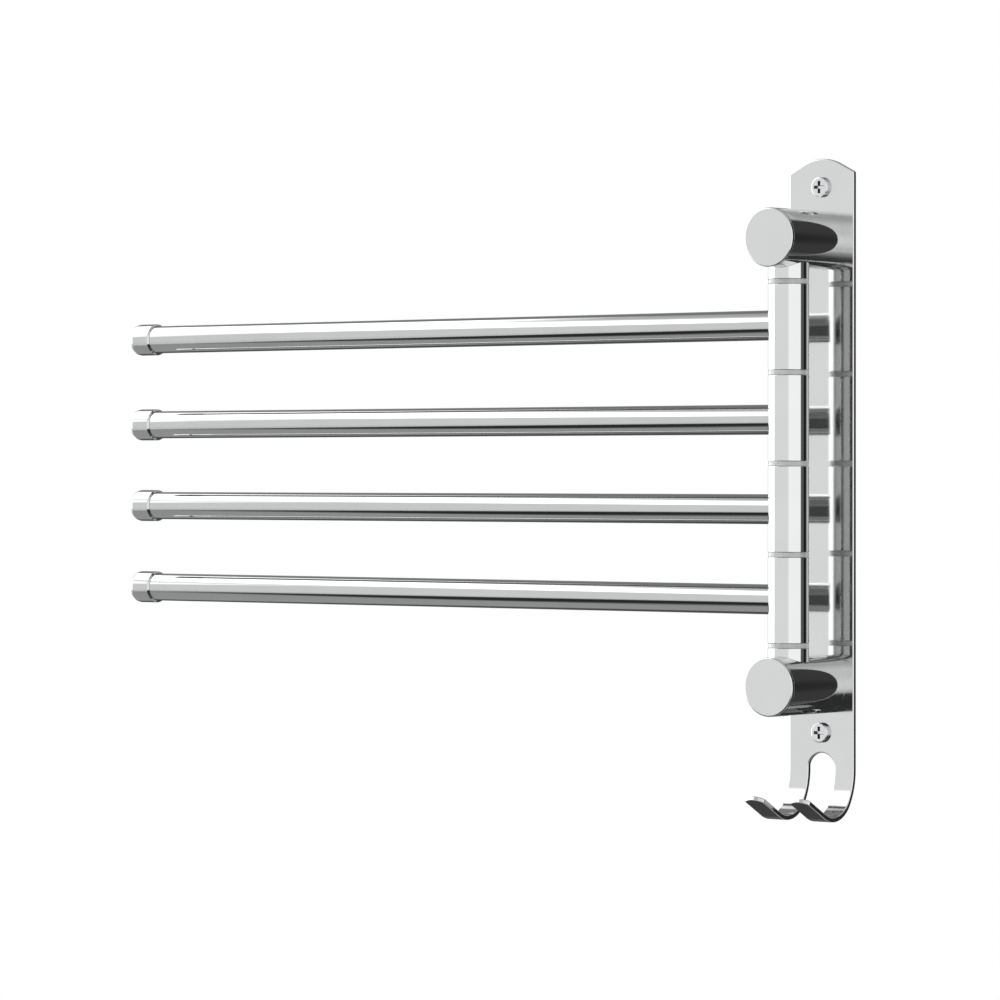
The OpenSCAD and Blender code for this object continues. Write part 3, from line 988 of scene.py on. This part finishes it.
def make_floor(height, radius):
    """Round floor, which keeps the object's shadow."""
    bm = bmesh.new()
    centre = bm.verts.new((0, 0, height))
    rings = []
    for share in FLOOR_RING_SHARES:
        turns = [2 * math.pi * k / FLOOR_STEPS for k in range(FLOOR_STEPS)]
        rings.append([bm.verts.new((radius * share * math.cos(a), radius * share * math.sin(a), height))
                      for a in turns])
    for k in range(FLOOR_STEPS):
        n = (k + 1) % FLOOR_STEPS
        bm.faces.new((centre, rings[0][k], rings[0][n]))
        for a, b in zip(rings, rings[1:]):
            bm.faces.new((a[k], b[k], b[n], a[n]))
    mesh = bpy.data.meshes.new("floor")
    bm.to_mesh(mesh)
    bm.free()
    mesh.materials.append(floor_material(radius))
    add_object("floor", mesh)


def card_material(name, level):
    """Panel of an even level that fades out where its cover attribute falls."""
    material = bpy.data.materials.new(name)
    material.use_nodes = True
    tree = material.node_tree
    tree.nodes.clear()
    glow = tree.nodes.new("ShaderNodeEmission")
    glow.inputs["Strength"].default_value = level
    clear = tree.nodes.new("ShaderNodeBsdfTransparent")
    cover = tree.nodes.new("ShaderNodeAttribute")
    cover.attribute_name = "cover"
    out = tree.nodes.new("ShaderNodeOutputMaterial")
    panel = mixed_shader(tree, cover.outputs["Fac"], clear.outputs[0], glow.outputs[0])
    tree.links.new(panel, out.inputs["Surface"])
    return material


def smooth(t):
    t = min(1.0, max(0.0, t))
    return t * t * (3 - 2 * t)


def make_card(name, level, sides, heights, fades, reach, layer):
    """Curved panel seen from the object between two azimuths and two elevations, in degrees.

    Azimuth 0 is straight out from the wall and 90 is to the right. The panel fades inwards from its
    edges, is reach metres away and stays above the floor. Layers keep panels apart along the floor."""
    left, right = sides
    low, high = heights
    floor_depth = CARD_FLOOR_DEPTH - layer * CARD_LAYER
    columns = max(CARD_LEAST_STEPS, int((right - left) / CARD_STEP_DEGREES))
    rows = max(CARD_LEAST_STEPS, int((high - low) / CARD_STEP_DEGREES))
    verts, cover, faces = [], [], []
    for j in range(rows + 1):
        el = low + (high - low) * j / rows
        for i in range(columns + 1):
            az = left + (right - left) * i / columns
            a, e = math.radians(az), math.radians(el)
            way = Vector((math.sin(a) * math.cos(e), -math.cos(a) * math.cos(e), math.sin(e)))
            far = min(reach, floor_depth / max(-way.z, TINY)) if way.z < 0 else reach
            verts.append(way * far)
            gaps = (az - left, right - az, el - low, high - el)
            shares = [smooth(gap / fade) if fade else 1.0 for gap, fade in zip(gaps, fades)]
            cover.append(math.prod(shares))
    for j in range(rows):
        for i in range(columns):
            a = j * (columns + 1) + i
            faces.append((a, a + 1, a + columns + 2, a + columns + 1))
    mesh = bpy.data.meshes.new(name)
    mesh.from_pydata(verts, [], faces)
    mesh.attributes.new("cover", "FLOAT", "POINT").data.foreach_set("value", cover)
    mesh.materials.append(card_material(name, level))
    ob = add_object(name, mesh)
    ob.visible_camera = False
    ob.visible_diffuse = False
    ob.visible_shadow = False
    ob.visible_volume_scatter = False


def make_lamp(name, place, size, power):
    """Soft round lamp that points at the origin and isn't mirrored in the steel."""
    data = bpy.data.lights.new(name, "AREA")
    data.shape = "DISK"
    data.size = size
    data.energy = power
    ob = add_object(name, data)
    ob.location = place
    ob.rotation_euler = (-Vector(place)).to_track_quat("-Z", "Y").to_euler()
    ob.visible_glossy = False


def make_camera():
    data = bpy.data.cameras.new("camera")
    data.lens = LENS
    data.sensor_width = SENSOR
    data.clip_end = VIEW_DEPTH
    ob = add_object("camera", data)
    ob.location = EYE
    ob.rotation_euler = (Vector(AIM) - Vector(EYE)).to_track_quat("-Z", "Y").to_euler()
    bpy.context.scene.camera = ob


def make_stage():
    bpy.context.scene.view_settings.view_transform = "Standard"
    make_world(WORLD_LEVEL)
    make_floor(FLOOR_Z, FLOOR_R)
    for name, card in CARDS.items():
        make_card(name, *card)
    for name, lamp in LAMPS.items():
        make_lamp(name, *lamp)
    make_camera()


# Whole object
def make_fixed_pieces(steels, nylon):
    rod_lo, rod_hi = box_mm("pivot_rod")
    rod_at = ((rod_lo.x + rod_hi.x) / 2, (rod_lo.y + rod_hi.y) / 2)
    back_plate(steels["strip_steel"], steels["cut_edge"], heights_of("wall_screw"), heights_of("post"))
    for end, side in zip(ENDS, (1, -1)):
        post(end, steels["post_steel"], rod_at, side)
        post_cap(end, steels["polished_steel"])
        collar(end, steels["polished_steel"], side)
        wall_screw(end, steels["plated_screw"], steels["painted_recess_shade"])
        post_screw(end, steels["machined_steel"])
    for n in WASHERS:
        ring_piece(f"washer_{n}", f"washer_{n}_ring", ROD_HOLE_R, SOFT_RIM, nylon, "wall_frame")


def make_arms(steels):
    for n in ARMS:
        ring_piece(f"sleeve_{n}", f"sleeve_{n}_barrel", BUSH_HOLE_R, SLEEVE_RIM,
                   steels["polished_steel"], f"arm_{n}")
        arm_tube(n, steels["tube_steel"])
        end_cap(n, steels["tube_steel"])


def paint_solids(nodes, machined, nylon):
    """Materials of the CAD solids that are shown as they are."""
    for name in ("pivot_rod", "upper_post_plug", "lower_post_plug"):
        paint(nodes[name], machined)
    for n in ARMS:
        for end in ENDS:
            paint(nodes[f"{end}_bush_{n}"], nylon)


def main():
    clear_scene()
    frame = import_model()

    steels = {name: steel(name) for name in STEELS}
    nylon = nylon_material()
    make_fixed_pieces(steels, nylon)
    make_arms(steels)
    paint_solids(frame["nodes"], steels["machined_steel"], nylon)
    make_stage()


main()
